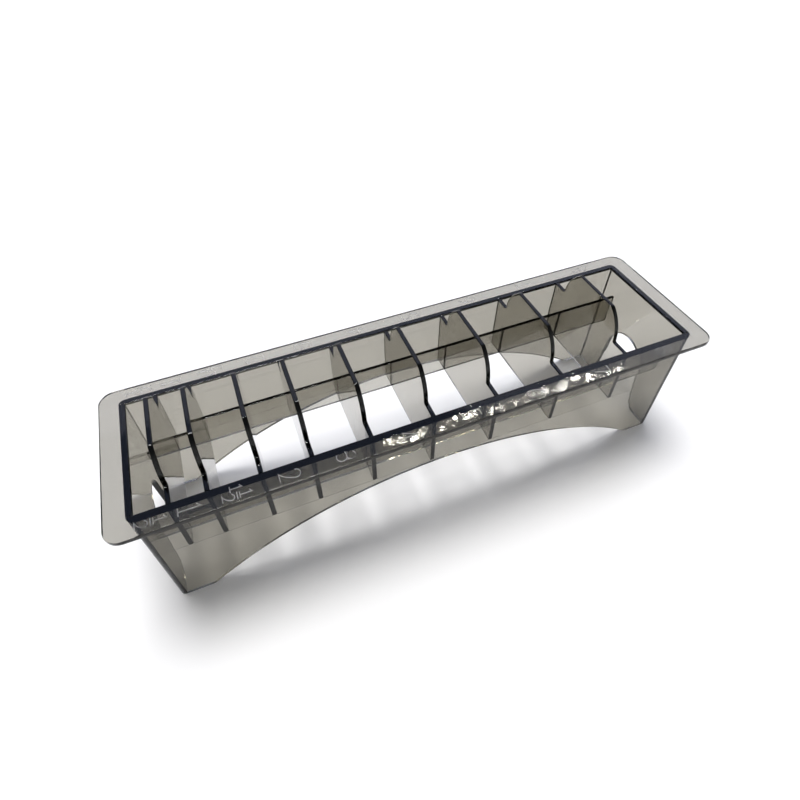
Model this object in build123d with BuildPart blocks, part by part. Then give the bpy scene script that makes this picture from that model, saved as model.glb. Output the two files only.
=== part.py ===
from build123d import *
from math import sqrt
import os

# Storage rack for ten clipper guard combs.  Millimetres, +Z up.
# X runs along the length, the labelled front is -Y, the feet stand on Z = 0.

# ---- rim flange -----------------------------------------------------------
rim_length = 250.0
rim_width = 68.0
rim_top = 63.0
rim_thickness = 2.1
rim_corner = 6.0
rim_edge_round = 0.4

# ---- small rounding of the open edges -------------------------------------
wall_edge_round = 0.45      # inner top edge of the walls
arch_edge_round = 0.35      # both edges of the arches and the feet
thin_edge_round = 0.35      # dividers and rails

# ---- box walls ------------------------------------------------------------
inner_length = 230.0
inner_width = 50.8
wall = 2.4
skirt_step = 0.25           # the long walls are this much thinner below the dividers
body_corner = 2.4
body_length = inner_length + 2 * wall
body_width = inner_width + 2 * wall

# ---- arches that leave the corner feet ------------------------------------
long_arch_radius = 172.0
long_arch_apex = 34.6       # height of the arch crown above the table
long_arch_round = 3.0       # where the arch runs into the foot
end_arch_radius = 10.5
end_arch_apex = 37.0
end_arch_foot = 13.5        # half width just above the foot rounding
end_arch_round = 7.0

# ---- dividers -------------------------------------------------------------
divider_thickness = 1.8
divider_bottom = 35.0
hump_radius = 18.4          # round shoulder of the part that stands above the rim
hump_height = 14.6
hump_top = rim_top + hump_height
hump_foot_round = 0.8       # where the hump rises from the rim
hump_top_round = 1.5        # where its round shoulder meets its flat top
slot_widths = [10.3, 11.2, 16.8, 16.8, 20.9, 23.6, 25.5, 28.2, 29.9]

# ---- rails that run from divider to divider -------------------------------
rail_inner = 17.4           # half the clear width between front and rear rail
rail_thickness = 1.6
rail_low = 4.0              # rail height in the first slot
rail_mid = 9.0              # rail height in the second slot
rail_full = 15.3            # rail height in the other eight
rail_heights = [rail_low, rail_mid] + [rail_full] * 8

# ---- raised size numbers on the flange ------------------------------------
digit_height = 7.5          # all number sizes are measured on stroke centre lines
digit_width = 3.2
small_height = 4.1          # the digits of a stacked half, and the 1 beside it
small_width = 2.4
half_gap = 0.9              # from the fraction line to the digits above and below
mixed_left = 2.0            # how far the 1 of "1 and a half" sits left of the middle
mixed_right = 1.1           # how far its half sits right of the middle
four_stem = 0.72            # where the upright of the 4 stands across its width
stroke = 0.4
relief = 0.15
number_line = 30.3          # distance of the row of numbers from the middle
slot_names = ["half", "1", "1_and_half", "2", "3", "4", "5", "6", "7", "8"]

bar_overhang = 0.3          # how far the fraction line runs past its digits

# ---- for picking edges by where they are ----------------------------------
same_place = 0.01           # places closer than this are the same
pick_reach = 1.0            # an edge this close to its stated place is the one meant

os.makedirs("parts", exist_ok=True)


def save(body, name):
    body.label = name
    export_step(body, "parts/" + name + ".step")


# ---- where the slots and dividers sit along X -----------------------------
divider_x = []
edge = -inner_length / 2
for width in slot_widths:
    divider_x.append(edge + width + divider_thickness / 2)
    edge += width + divider_thickness
slot_edges = [-inner_length / 2]
for x in divider_x:
    slot_edges.append(x - divider_thickness / 2)
    slot_edges.append(x + divider_thickness / 2)
slot_edges.append(inner_length / 2)
slots = [(slot_edges[2 * i], slot_edges[2 * i + 1]) for i in range(len(slot_names))]

# ---- rim flange: a flat ring around the box -------------------------------
with BuildPart() as rim_flange:
    with BuildSketch(Plane.XY.offset(rim_top - rim_thickness)):
        RectangleRounded(rim_length, rim_width, rim_corner)
        RectangleRounded(body_length, body_width, body_corner, mode=Mode.SUBTRACT)
    extrude(amount=rim_thickness)
    top_edges = rim_flange.faces().sort_by(Axis.Z)[-1].outer_wire().edges()
    fillet(top_edges, rim_edge_round)
    low_edges = rim_flange.faces().sort_by(Axis.Z)[0].outer_wire().edges()
    fillet(low_edges, rim_edge_round)
save(rim_flange.part, "rim_flange")


# ---- long walls: full length, rounded outer corners, wide arch below ------
def is_arch_height(point, apex):
    """true on an arch and its run into the feet, false on the table and at the rim"""
    return same_place < point.Z < apex + pick_reach


def long_wall(side):
    """side is -1 for the front wall and +1 for the rear wall"""
    inner_y = side * inner_width / 2
    mid_y = side * (inner_width + wall) / 2
    arch_centre = long_arch_apex - long_arch_radius
    foot_x = sqrt(long_arch_radius**2 - arch_centre**2)
    with BuildPart() as panel:
        with BuildSketch(Plane.XY):
            RectangleRounded(body_length, body_width, body_corner)
            with Locations((0, inner_y - side * body_width / 2)):
                Rectangle(body_length, body_width, mode=Mode.SUBTRACT)
        extrude(amount=rim_top)
        with BuildSketch(Plane.XZ):
            with Locations((0, arch_centre)):
                Circle(long_arch_radius)
        extrude(amount=body_width, both=True, mode=Mode.SUBTRACT)
        corners = panel.edges().filter_by(Axis.Y).group_by(Axis.Z)[0]
        toes = [e for e in corners if abs(abs(e.center().X) - foot_x) < pick_reach]
        fillet(toes, long_arch_round)
        with Locations((0, inner_y, 0)):
            Box(
                inner_length,
                2 * skirt_step,
                divider_bottom,
                align=(Align.CENTER, Align.CENTER, Align.MIN),
                mode=Mode.SUBTRACT,
            )
        top_y = panel.edges().filter_by(Axis.X).group_by(Axis.Z)[-1]
        fillet(top_y.sort_by(Axis.Y)[0 if side > 0 else -1], wall_edge_round)
        outer_face = panel.faces().filter_by(Axis.Y).sort_by(Axis.Y)[-1 if side > 0 else 0]
        arch = [e for e in outer_face.outer_wire().edges() if is_arch_height(e.center(), long_arch_apex)]
        arch = [e for e in arch if abs(e.center().X) < inner_length / 2 - wall]
        fillet(arch, arch_edge_round)
    return panel.part


save(long_wall(-1), "front_wall")
save(long_wall(1), "rear_wall")


# ---- end walls: between the long walls, narrow arch below -----------------
def end_wall(side):
    """side is -1 for the left end and +1 for the right end"""
    crown_z = end_arch_apex - end_arch_radius
    with BuildPart() as panel:
        with Locations((side * (inner_length + wall) / 2, 0, 0)):
            Box(
                wall,
                inner_width,
                rim_top,
                align=(Align.CENTER, Align.CENTER, Align.MIN),
            )
        with BuildSketch(Plane.YZ):
            with BuildLine():
                Polyline(
                    (-end_arch_foot, 0),
                    (-end_arch_radius, crown_z),
                    (end_arch_radius, crown_z),
                    (end_arch_foot, 0),
                    close=True,
                )
            make_face()
            with Locations((0, crown_z)):
                Circle(end_arch_radius)
        extrude(amount=body_length, both=True, mode=Mode.SUBTRACT)
        corners = panel.edges().filter_by(Axis.X).group_by(Axis.Z)[0]
        toes = [e for e in corners if abs(abs(e.center().Y) - end_arch_foot) < pick_reach]
        fillet(toes, end_arch_round)
        top_x = panel.edges().filter_by(Axis.Y).group_by(Axis.Z)[-1]
        fillet(top_x.sort_by(Axis.X)[0 if side > 0 else -1], wall_edge_round)
        outer_face = panel.faces().filter_by(Axis.X).sort_by(Axis.X)[-1 if side > 0 else 0]
        arch = [e for e in outer_face.outer_wire().edges() if is_arch_height(e.center(), end_arch_apex)]
        arch = [e for e in arch if abs(e.center().Y) < inner_width / 2 - wall]
        fillet(arch, arch_edge_round)
    return panel.part


save(end_wall(-1), "left_end_wall")
save(end_wall(1), "right_end_wall")

# ---- dividers: flush with the rim at both ends, humped in the middle ------
hump_flat = sqrt(hump_radius**2 - hump_height**2)


def divider_corners(points, height):
    """the flat outline's corners at one height, without those against the long walls"""
    level = [p for p in points if abs(p.Y - height) < same_place]
    return [p for p in level if abs(p.X) < inner_width / 2 - pick_reach]


with BuildPart() as divider:
    with BuildSketch(Plane.YZ) as outline:
        with Locations((0, (divider_bottom + rim_top) / 2)):
            Rectangle(inner_width, rim_top - divider_bottom)
        with BuildLine():
            Line((-hump_radius, rim_top), (hump_radius, rim_top))
            RadiusArc((hump_radius, rim_top), (hump_flat, hump_top), -hump_radius)
            Line((hump_flat, hump_top), (-hump_flat, hump_top))
            RadiusArc((-hump_flat, hump_top), (-hump_radius, rim_top), -hump_radius)
        make_face()
        fillet(divider_corners(outline.vertices(), rim_top), hump_foot_round)
        fillet(divider_corners(outline.vertices(), hump_top), hump_top_round)
    extrude(amount=divider_thickness / 2, both=True)
    outer_faces = divider.faces().filter_by(Axis.X)
    open_edges = [
        e for e in outer_faces.edges()
        if abs(e.center().Y) < inner_width / 2 - pick_reach
    ]
    fillet(open_edges, thin_edge_round)

for i, x in enumerate(divider_x):
    placed = Pos(x, 0, 0) * divider.part
    save(placed, "divider_" + slot_names[i] + "_to_" + slot_names[i + 1])


# ---- rails: low strips a few millimetres in from the long walls -----------
def rail(slot, side, height):
    left, right = slot
    with BuildPart() as strip:
        with Locations(((left + right) / 2, side * (rail_inner + rail_thickness / 2), divider_bottom)):
            Box(
                right - left,
                rail_thickness,
                height,
                align=(Align.CENTER, Align.CENTER, Align.MIN),
            )
        fillet(strip.edges().filter_by(Axis.X).group_by(Axis.Z)[-1], thin_edge_round)
    return strip.part


for name, slot, height in zip(slot_names, slots, rail_heights):
    save(rail(slot, -1, height), "front_rail_slot_" + name)
    save(rail(slot, 1, height), "rear_rail_slot_" + name)


# ---- size numbers: pen strokes on the flange, each digit drawn upright -----
def pen(digit, x, y, w, h):
    """draw one digit in the active BuildLine, lower left corner at x, y"""
    mid = x + w / 2
    if digit == "1":
        Line((x + 0.1 * w, y + 0.82 * h), (mid, y + h))
        Line((mid, y + h), (mid, y))
        Line((x, y), (x + w, y))
    elif digit == "2":
        ThreePointArc((x, y + 0.76 * h), (mid, y + h), (x + w, y + 0.76 * h))
        ThreePointArc((x + w, y + 0.76 * h), (x + 0.78 * w, y + 0.42 * h), (x, y))
        Line((x, y), (x + w, y))
    elif digit == "3":
        ThreePointArc((x + 0.1 * w, y + 0.88 * h), (x + w, y + 0.76 * h), (x + 0.3 * w, y + 0.54 * h))
        ThreePointArc((x + 0.3 * w, y + 0.54 * h), (x + w, y + 0.27 * h), (x, y + 0.1 * h))
    elif digit == "4":
        Line((x + four_stem * w, y + h), (x, y + 0.3 * h))
        Line((x, y + 0.3 * h), (x + w, y + 0.3 * h))
    elif digit == "5":
        Line((x + 0.95 * w, y + h), (x + 0.1 * w, y + h))
        Line((x + 0.1 * w, y + h), (x + 0.05 * w, y + 0.54 * h))
        ThreePointArc((x + 0.05 * w, y + 0.54 * h), (x + w, y + 0.3 * h), (x, y + 0.06 * h))
    elif digit == "6":
        ThreePointArc((x + 0.85 * w, y + h), (x + 0.18 * w, y + 0.66 * h), (x, y + 0.28 * h))
    elif digit == "7":
        Line((x, y + h), (x + w, y + h))
        Line((x + w, y + h), (x + 0.3 * w, y))


def loop(x, y, w, h):
    """one closed oval stroke in the active BuildSketch, centred at x, y"""
    with Locations((x, y)):
        Ellipse(w / 2 + stroke / 2, h / 2 + stroke / 2)
        Ellipse(w / 2 - stroke / 2, h / 2 - stroke / 2, mode=Mode.SUBTRACT)


def half(middle):
    """a stacked one half in the active BuildLine, middle of its line at middle, 0"""
    left = middle - small_width / 2
    pen("1", left, half_gap, small_width, small_height)
    pen("2", left, -half_gap - small_height, small_width, small_height)
    Line((left - bar_overhang, 0), (left + small_width + bar_overhang, 0))


def number(name, side, middle):
    """one label lying sideways on the flange; rear labels face away from front ones"""
    spot = Plane(
        origin=(middle, side * number_line, rim_top),
        x_dir=(0, side, 0),
        z_dir=(0, 0, 1),
    )
    with BuildPart() as label:
        with BuildSketch(spot):
            if name == "8":
                loop(0, 0.26 * digit_height, 0.86 * digit_width, 0.48 * digit_height)
                loop(0, -0.24 * digit_height, digit_width, 0.52 * digit_height)
            else:
                with BuildLine():
                    if name == "half":
                        half(0)
                    elif name == "1_and_half":
                        pen("1", -mixed_left - small_width / 2, -small_height / 2, small_width, small_height)
                        half(mixed_right)
                    else:
                        pen(name, -digit_width / 2, -digit_height / 2, digit_width, digit_height)
                trace(line_width=stroke)
            if name == "4":
                with Locations(((four_stem - 0.5) * digit_width, 0)):
                    Rectangle(stroke, digit_height + stroke)
            if name == "6":
                loop(0, -0.24 * digit_height, digit_width, 0.52 * digit_height)
        extrude(amount=relief)
    return label.part


for name, slot in zip(slot_names, slots):
    centre = (slot[0] + slot[1]) / 2
    save(number(name, -1, centre), "front_number_" + name)
    save(number(name, 1, centre), "rear_number_" + name)
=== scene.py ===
import bmesh
import bpy
import math
import random
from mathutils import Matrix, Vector


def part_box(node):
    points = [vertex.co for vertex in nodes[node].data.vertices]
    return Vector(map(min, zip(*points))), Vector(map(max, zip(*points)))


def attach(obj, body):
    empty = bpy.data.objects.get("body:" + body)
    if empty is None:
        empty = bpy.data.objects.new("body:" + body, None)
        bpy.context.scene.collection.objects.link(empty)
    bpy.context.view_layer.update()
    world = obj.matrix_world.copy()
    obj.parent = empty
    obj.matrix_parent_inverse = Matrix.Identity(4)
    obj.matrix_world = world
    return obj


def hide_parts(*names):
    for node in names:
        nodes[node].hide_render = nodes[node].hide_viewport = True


# Storage rack for clipper guard combs: one smoky transparent moulding on a white table.
# Every CAD node is shown by a finished copy of its own shape.  Where two pieces are one
# piece of plastic, the faces between them are marked as joints, which bend no light.
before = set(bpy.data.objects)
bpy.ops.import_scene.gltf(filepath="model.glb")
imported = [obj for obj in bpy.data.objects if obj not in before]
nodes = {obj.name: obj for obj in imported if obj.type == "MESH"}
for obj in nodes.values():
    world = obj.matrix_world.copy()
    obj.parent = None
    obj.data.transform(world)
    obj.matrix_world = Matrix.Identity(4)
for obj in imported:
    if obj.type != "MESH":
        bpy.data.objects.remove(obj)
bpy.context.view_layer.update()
MM = 0.001
TOUCH = 0.02 * MM           # faces closer than this are in one plane
JOINT_GAP = 0.01 * MM       # room left at a joint, so that its two faces never coincide

# ---- camera ---------------------------------------------------------------
SENSOR_MM = 36.0
LENS_MM = 24.43
CAMERA_PLACE = (-0.0653, -0.1391, 0.2282)
CAMERA_TURN = (43.82, 0.42, -21.86)
CAMERA_SHIFT = (0.005, -0.0529)


def make_camera():
    data = bpy.data.cameras.new("camera")
    data.sensor_width = SENSOR_MM
    data.lens = LENS_MM
    data.shift_x, data.shift_y = CAMERA_SHIFT
    data.clip_start = 0.001
    data.dof.use_dof = False
    camera = bpy.data.objects.new("camera", data)
    camera.location = CAMERA_PLACE
    camera.rotation_euler = [math.radians(turn) for turn in CAMERA_TURN]
    bpy.context.scene.collection.objects.link(camera)
    bpy.context.scene.camera = camera


make_camera()

# ---- materials ------------------------------------------------------------
REFRACTION = 1.49
SMOKE_COLOUR = (0.403, 0.375, 0.285, 1)
SMOKE_DENSITY = 520
TOP_RIPPLE = 0.014 * MM     # the mould's ripples: on the faces that look up
SIDE_RIPPLE = 0.020 * MM    # on the faces that look sideways or down, where they run up and down
DUST_DEPTH = 0.0006 * MM
RIPPLES_PER_M = 400
RIPPLE_SWIRL = 0.8
SIDE_RIPPLES_PER_M = 260
SIDE_SQUASH = 0.2           # side ripples are five times as long as they are wide
PATCHES_PER_M = 90
DUST_PER_M = 2600
PATCH_RANGE = (0.35, 0.75)  # the part of the patch noise over which the plastic turns duller
UPWARD = (0.90, 0.98)       # the normal's Z over which the top ripple sets in
SIDEWAYS = (0.10, 0.20)     # the normal's Z over which the side ripple fades out
CLEAR_ROUGHNESS = (0.0, 0.02)
MATT_ROUGHNESS = (0.25, 0.36)


def add_smoke(tree):
    """the plastic's own grey, which deepens with the length of plastic that light crosses"""
    smoke = tree.nodes.new("ShaderNodeVolumeAbsorption")
    smoke.inputs["Color"].default_value = SMOKE_COLOUR
    smoke.inputs["Density"].default_value = SMOKE_DENSITY
    tree.links.new(smoke.outputs["Volume"], tree.nodes["Material Output"].inputs["Volume"])


def noise(tree, scale, detail, distortion=0.0):
    place = tree.nodes.new("ShaderNodeTexCoord")
    texture = tree.nodes.new("ShaderNodeTexNoise")
    texture.inputs["Scale"].default_value = scale
    texture.inputs["Detail"].default_value = detail
    texture.inputs["Distortion"].default_value = distortion
    tree.links.new(place.outputs["Object"], texture.inputs["Vector"])
    return texture.outputs["Fac"]


def remap(tree, value, given, wanted):
    """a value in the given range, moved to the wanted range"""
    node = tree.nodes.new("ShaderNodeMapRange")
    node.inputs["From Min"].default_value, node.inputs["From Max"].default_value = given
    node.inputs["To Min"].default_value, node.inputs["To Max"].default_value = wanted
    tree.links.new(value, node.inputs["Value"])
    return node.outputs["Result"]


def bump(tree, height, depth, strength=None, below=None):
    node = tree.nodes.new("ShaderNodeBump")
    node.inputs["Strength"].default_value = 1.0
    node.inputs["Distance"].default_value = depth
    tree.links.new(height, node.inputs["Height"])
    if strength is not None:
        tree.links.new(strength, node.inputs["Strength"])
    if below is not None:
        tree.links.new(below, node.inputs["Normal"])
    return node.outputs["Normal"]


def stretched_noise(tree, scale, squash):
    """noise drawn out along Z, as plastic flows in the mould"""
    place = tree.nodes.new("ShaderNodeTexCoord")
    stretch = tree.nodes.new("ShaderNodeMapping")
    stretch.inputs["Scale"].default_value = (scale, scale, scale * squash)
    texture = tree.nodes.new("ShaderNodeTexNoise")
    texture.inputs["Scale"].default_value = 1.0
    texture.inputs["Detail"].default_value = 2
    tree.links.new(place.outputs["Object"], stretch.inputs["Vector"])
    tree.links.new(stretch.outputs["Vector"], texture.inputs["Vector"])
    return texture.outputs["Fac"]


def smoky_plastic(name, roughness):
    """clear plastic with the ripples of the mould, a few duller patches and fine dust marks"""
    material = bpy.data.materials.new(name)
    material.use_nodes = True
    tree = material.node_tree
    shader = tree.nodes["Principled BSDF"]
    shader.inputs["Transmission Weight"].default_value = 1.0
    shader.inputs["IOR"].default_value = REFRACTION
    shader.inputs["Base Color"].default_value = (1, 1, 1, 1)
    dull = remap(tree, noise(tree, PATCHES_PER_M, 3), PATCH_RANGE, roughness)
    tree.links.new(dull, shader.inputs["Roughness"])
    facing = tree.nodes.new("ShaderNodeNewGeometry")
    split = tree.nodes.new("ShaderNodeSeparateXYZ")
    tree.links.new(facing.outputs["Normal"], split.inputs["Vector"])
    upward = remap(tree, split.outputs["Z"], UPWARD, (0.0, 1.0))
    sideways = remap(tree, split.outputs["Z"], SIDEWAYS, (1.0, 0.0))
    top_noise = noise(tree, RIPPLES_PER_M, 1, RIPPLE_SWIRL)
    side_noise = stretched_noise(tree, SIDE_RIPPLES_PER_M, SIDE_SQUASH)
    top = bump(tree, top_noise, TOP_RIPPLE, upward)
    side = bump(tree, side_noise, SIDE_RIPPLE, sideways, top)
    dust = bump(tree, noise(tree, DUST_PER_M, 3), DUST_DEPTH, below=side)
    tree.links.new(dust, shader.inputs["Normal"])
    add_smoke(tree)
    return material


def joint_plastic():
    """the inside of the moulding, where two named pieces are the same plastic"""
    material = bpy.data.materials.new("moulded_joint")
    material.use_nodes = True
    tree = material.node_tree
    tree.nodes["Principled BSDF"].inputs["Alpha"].default_value = 0.0
    add_smoke(tree)
    return material


plastic = smoky_plastic("smoky_clear_plastic", CLEAR_ROUGHNESS)
matt = smoky_plastic("smoky_matt_number", MATT_ROUGHNESS)
joint = joint_plastic()

# ---- pieces: finished copies of the CAD nodes -----------------------------
FINISH_SLOT = 0             # each copy's two materials: its finish, and the joint's
JOINT_SLOT = 1
FLAT_FACE = 0.99999         # a face square to an axis is flat, any other is part of a rounding
SMOOTH_LIMIT = math.cos(math.radians(50))
SQUARE = 0.99               # a face looks along an axis when this much of its normal does
UPRIGHT = 0.1               # a face stands upright when its normal's Z is less than this
OUTWARD = 0.5               # a long wall's face looks outward when this much of its normal does
END_BAND = 2.5 * MM         # the ends of the box, a little deeper than an end wall is thick
WELD = 0.001 * MM
FLAT_TURN = math.radians(0.3)
dividers = sorted(n for n in nodes if n.startswith("divider_"))
rails = sorted(n for n in nodes if "_rail_" in n)
numbers = sorted(n for n in nodes if "_number_" in n)
long_walls = ["front_wall", "rear_wall"]
end_walls = ["left_end_wall", "right_end_wall"]
structure = long_walls + end_walls + dividers + rails
boxes = {name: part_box(name) for name in structure}
rim_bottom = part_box("rim_flange")[0].z
wall_outer_x = boxes["front_wall"][1].x
wall_outer_y = boxes["rear_wall"][1].y


def inside(point, low, high):
    return all(low[i] - TOUCH <= point[i] <= high[i] + TOUCH for i in range(3))


def contacts(name, others):
    """(axis, plane, low corner, high corner) of each rectangle where another piece's box touches"""
    low, high = boxes[name]
    found = []
    for other in others:
        if other == name:
            continue
        other_low, other_high = boxes[other]
        meet_low = [max(low[i], other_low[i]) for i in range(3)]
        meet_high = [min(high[i], other_high[i]) for i in range(3)]
        spans = [meet_high[i] - meet_low[i] for i in range(3)]
        flat = [i for i in range(3) if abs(spans[i]) < TOUCH]
        if len(flat) == 1 and all(spans[i] > TOUCH for i in range(3) if i != flat[0]):
            found.append((flat[0], meet_low[flat[0]], meet_low, meet_high))
    return found


def cut_in_plane(mesh, axis, plane, across, place):
    """splits the faces that lie in a plane by a line square to it, and leaves the others"""
    flat = [
        f for f in mesh.faces
        if abs(f.normal[axis]) > SQUARE and abs(f.calc_center_median()[axis] - plane) < TOUCH
    ]
    geometry = set(flat)
    for face in flat:
        geometry.update(face.edges)
        geometry.update(face.verts)
    origin = [0, 0, 0]
    origin[across] = place
    normal = [0, 0, 0]
    normal[across] = 1
    bmesh.ops.bisect_plane(mesh, geom=list(geometry), plane_co=origin, plane_no=normal)


def mark_contacts(mesh, name):
    """gives the joint's material to the faces that lie wholly against another piece"""
    for axis, plane, low, high in contacts(name, structure):
        for across in range(3):
            if across != axis:
                for place in (low[across], high[across]):
                    cut_in_plane(mesh, axis, plane, across, place)
        for face in mesh.faces:
            if abs(face.normal[axis]) > SQUARE and all(inside(v.co, low, high) for v in face.verts):
                face.material_index = JOINT_SLOT


def start_mesh(name):
    """a copy of a node's mesh, with its flat faces whole again"""
    mesh = bmesh.new()
    mesh.from_mesh(nodes[name].data)
    bmesh.ops.remove_doubles(mesh, verts=mesh.verts, dist=WELD)
    bmesh.ops.dissolve_limit(mesh, angle_limit=FLAT_TURN, verts=mesh.verts, edges=mesh.edges)
    bmesh.ops.recalc_face_normals(mesh, faces=mesh.faces)
    mesh.normal_update()
    for face in mesh.faces:
        face.material_index = FINISH_SLOT
        face.smooth = True
    return mesh


def is_flat(normal):
    return max(abs(part) for part in normal) > FLAT_FACE


def corner_normal(face, vert):
    """a flat face keeps its own normal, a rounding runs smoothly into what it meets"""
    if is_flat(face.normal):
        return face.normal.copy()
    around = [f for f in vert.link_faces if f.normal.dot(face.normal) > SMOOTH_LIMIT]
    flat = [f for f in around if is_flat(f.normal)]
    if flat:
        return max(flat, key=lambda f: f.normal.dot(face.normal)).normal.copy()
    total = Vector((0, 0, 0))
    for other in around:
        total += other.normal * other.calc_area()
    return total.normalized()


def show(name, mesh, finish):
    """puts a finished mesh in the scene, in place of the node of that name"""
    data = bpy.data.meshes.new(name + "_moulding")
    mesh.normal_update()
    corner_normals = [corner_normal(face, vert) for face in mesh.faces for vert in face.verts]
    mesh.to_mesh(data)
    mesh.free()
    data.materials.append(finish)
    data.materials.append(joint)
    piece = bpy.data.objects.new(name + "_moulding", data)
    bpy.context.scene.collection.objects.link(piece)
    data.normals_split_custom_set(corner_normals)
    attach(piece, "root")
    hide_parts(name)


def make_walls():
    """cut at the rim's underside, above which their outsides are joined to the rim"""
    for name in long_walls + end_walls:
        mesh = start_mesh(name)
        bmesh.ops.bisect_plane(
            mesh,
            geom=mesh.faces[:] + mesh.edges[:] + mesh.verts[:],
            plane_co=(0, 0, rim_bottom),
            plane_no=(0, 0, 1),
        )
        mark_contacts(mesh, name)
        for face in mesh.faces:
            centre = face.calc_center_median()
            outward = face.normal.x * centre.x > 0.0 and abs(centre.x) > wall_outer_x - END_BAND
            if name in long_walls:
                outward = outward or face.normal.y * centre.y > OUTWARD * abs(centre.y)
            if abs(face.normal.z) < UPRIGHT and centre.z > rim_bottom and outward:
                face.material_index = JOINT_SLOT
        if name in end_walls:
            draw_in(mesh, 1)
        show(name, mesh, plastic)


def draw_in(mesh, axis):
    """moves both ends of a piece in by the joint gap, along one axis"""
    values = [v.co[axis] for v in mesh.verts]
    low, high = min(values), max(values)
    for vert in mesh.verts:
        if vert.co[axis] < low + TOUCH:
            vert.co[axis] += JOINT_GAP
        elif vert.co[axis] > high - TOUCH:
            vert.co[axis] -= JOINT_GAP


def make_dividers_and_rails():
    for name in dividers:
        mesh = start_mesh(name)
        mark_contacts(mesh, name)
        draw_in(mesh, 1)
        show(name, mesh, plastic)
    for name in rails:
        mesh = start_mesh(name)
        mark_contacts(mesh, name)
        draw_in(mesh, 0)
        show(name, mesh, plastic)


def make_rim():
    """its opening is joined to the walls all round"""
    mesh = start_mesh("rim_flange")
    for face in mesh.faces:
        centre = face.calc_center_median()
        within = abs(centre.x) < wall_outer_x + TOUCH and abs(centre.y) < wall_outer_y + TOUCH
        if abs(face.normal.z) < UPRIGHT and within:
            face.material_index = JOINT_SLOT
    for vert in mesh.verts:
        if abs(vert.co.x) < wall_outer_x + TOUCH and abs(vert.co.y) < wall_outer_y + TOUCH:
            vert.co.x += math.copysign(JOINT_GAP, vert.co.x)
            vert.co.y += math.copysign(JOINT_GAP, vert.co.y)
    show("rim_flange", mesh, plastic)


def make_numbers():
    for name in numbers:
        mesh = start_mesh(name)
        bmesh.ops.translate(mesh, vec=(0, 0, JOINT_GAP), verts=mesh.verts)
        show(name, mesh, matt)


make_walls()
make_dividers_and_rails()
make_rim()
make_numbers()

# ---- table ----------------------------------------------------------------
FLOOR_SIZE = 30.0
FLOOR_DROP = 0.1 * MM       # the table lies this much below the feet
FLOOR_COLOUR = (0.88, 0.87, 0.86, 1)
FLOOR_ROUGHNESS = 0.7
FLOOR_GLOW = 0.03


def make_floor():
    bpy.ops.mesh.primitive_plane_add(size=FLOOR_SIZE, location=(0, 0, -FLOOR_DROP))
    floor = bpy.context.object
    floor.name = "table"
    material = bpy.data.materials.new("white_table")
    material.use_nodes = True
    shader = material.node_tree.nodes["Principled BSDF"]
    shader.inputs["Base Color"].default_value = FLOOR_COLOUR
    shader.inputs["Roughness"].default_value = FLOOR_ROUGHNESS
    shader.inputs["Emission Color"].default_value = (1, 1, 1, 1)
    shader.inputs["Emission Strength"].default_value = FLOOR_GLOW
    floor.data.materials.append(material)


make_floor()

# ---- light ----------------------------------------------------------------
MIDDLE = (0, 0, 0.05)       # what the panels and panes face
WORLD_STRENGTH = 0.68
HORIZON = (0.30, (1.0, 1.0, 1.0, 1))        # height on the sky's sphere, colour
OVERHEAD = (0.62, (0.26, 0.27, 0.29, 1))
SUN_FROM = (-0.04, 0.20, 0.98)
SUN_STRENGTH = 2.15
SUN_SPREAD = 28             # degrees across, so that it is a soft light
BLUE_SKY = {"place": (0.30, 0.68, 1.06), "size": (2.2, 0.9), "power": 2.4, "colour": (0.45, 0.58, 1.0)}
REAR_SKY = {"place": (0.30, 0.95, 0.90), "size": (2.2, 0.6), "power": 2.2, "colour": (0.92, 0.91, 1.0)}
WINDOW_SEED = 5
PANES = 26
PANE_RADIANCE = 45
PANE_COLOUR = (1, 0.99, 0.93)
PANE_WIDTH = (0.005, 0.020)
PANE_HEIGHT = (0.003, 0.009)
PANE_SCATTER = 0.010        # how far a pane may lie nearer or farther than the row
WINDOW_LEFT = 0.14
WINDOW_RIGHT = 0.71
WINDOW_Y = 0.453
WINDOW_Z = 0.806


def aim(light, place, target):
    light.location = place
    light.rotation_euler = (Vector(target) - Vector(place)).to_track_quat("-Z", "Y").to_euler()
    bpy.context.scene.collection.objects.link(light)


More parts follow.
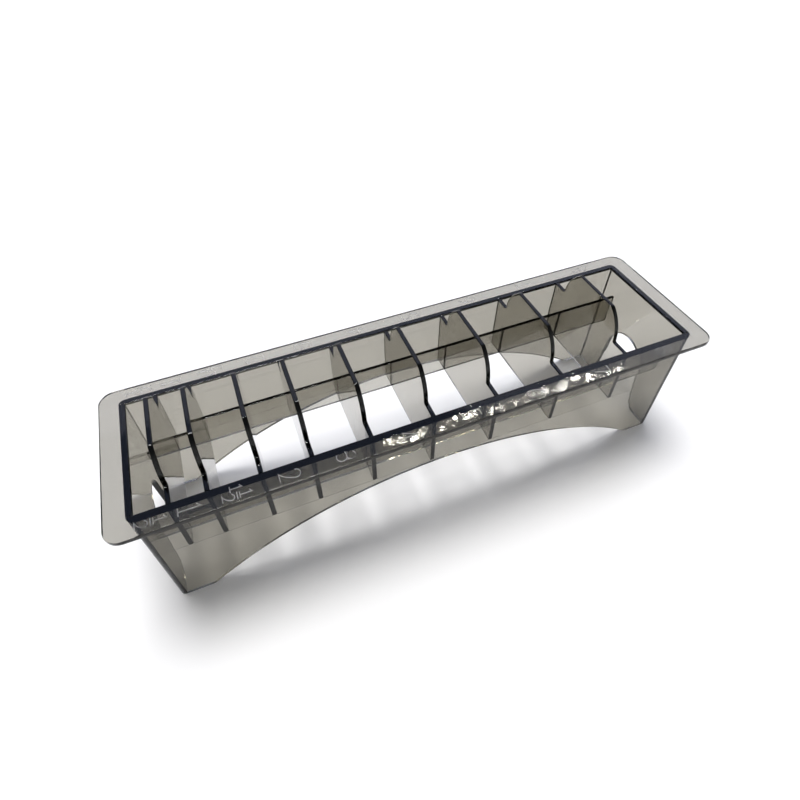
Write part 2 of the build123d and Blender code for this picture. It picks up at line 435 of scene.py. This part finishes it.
def area_light(name, place, size, power, colour):
    data = bpy.data.lights.new(name, "AREA")
    data.shape = "RECTANGLE"
    data.size, data.size_y = size
    data.energy = power
    data.color = colour
    aim(bpy.data.objects.new(name, data), place, MIDDLE)


def sun_light(name, place, strength, spread):
    data = bpy.data.lights.new(name, "SUN")
    data.energy = strength
    data.angle = math.radians(spread)
    aim(bpy.data.objects.new(name, data), place, (0, 0, 0))


def make_world():
    """white round the horizon, dimmer and bluer overhead"""
    world = bpy.data.worlds.new("studio")
    world.use_nodes = True
    tree = world.node_tree
    place = tree.nodes.new("ShaderNodeTexCoord")
    split = tree.nodes.new("ShaderNodeSeparateXYZ")
    ramp = tree.nodes.new("ShaderNodeValToRGB")
    for element, (height, colour) in zip(ramp.color_ramp.elements, (HORIZON, OVERHEAD)):
        element.position = height
        element.color = colour
    tree.links.new(place.outputs["Generated"], split.inputs["Vector"])
    tree.links.new(split.outputs["Z"], ramp.inputs["Fac"])
    tree.links.new(ramp.outputs["Color"], tree.nodes["Background"].inputs["Color"])
    tree.nodes["Background"].inputs["Strength"].default_value = WORLD_STRENGTH
    bpy.context.scene.world = world


def make_window():
    """a row of small bright panes, whose reflections glint along the front of the rim"""
    chance = random.Random(WINDOW_SEED)
    spacing = (WINDOW_RIGHT - WINDOW_LEFT) / PANES
    for number in range(PANES):
        x = WINDOW_LEFT + spacing * (number + chance.uniform(0.1, 0.9))
        size = (chance.uniform(*PANE_WIDTH), chance.uniform(*PANE_HEIGHT))
        y = WINDOW_Y + chance.uniform(-PANE_SCATTER, PANE_SCATTER)
        power = PANE_RADIANCE * math.pi * size[0] * size[1]
        area_light("pane_%02d" % number, (x, y, WINDOW_Z), size, power, PANE_COLOUR)


make_world()
sun_light("skylight", SUN_FROM, SUN_STRENGTH, SUN_SPREAD)
area_light("blue_sky", **BLUE_SKY)
area_light("rear_sky", **REAR_SKY)
make_window()
bpy.context.scene.view_settings.view_transform = "Standard"
bpy.context.scene.view_settings.look = "Medium High Contrast"
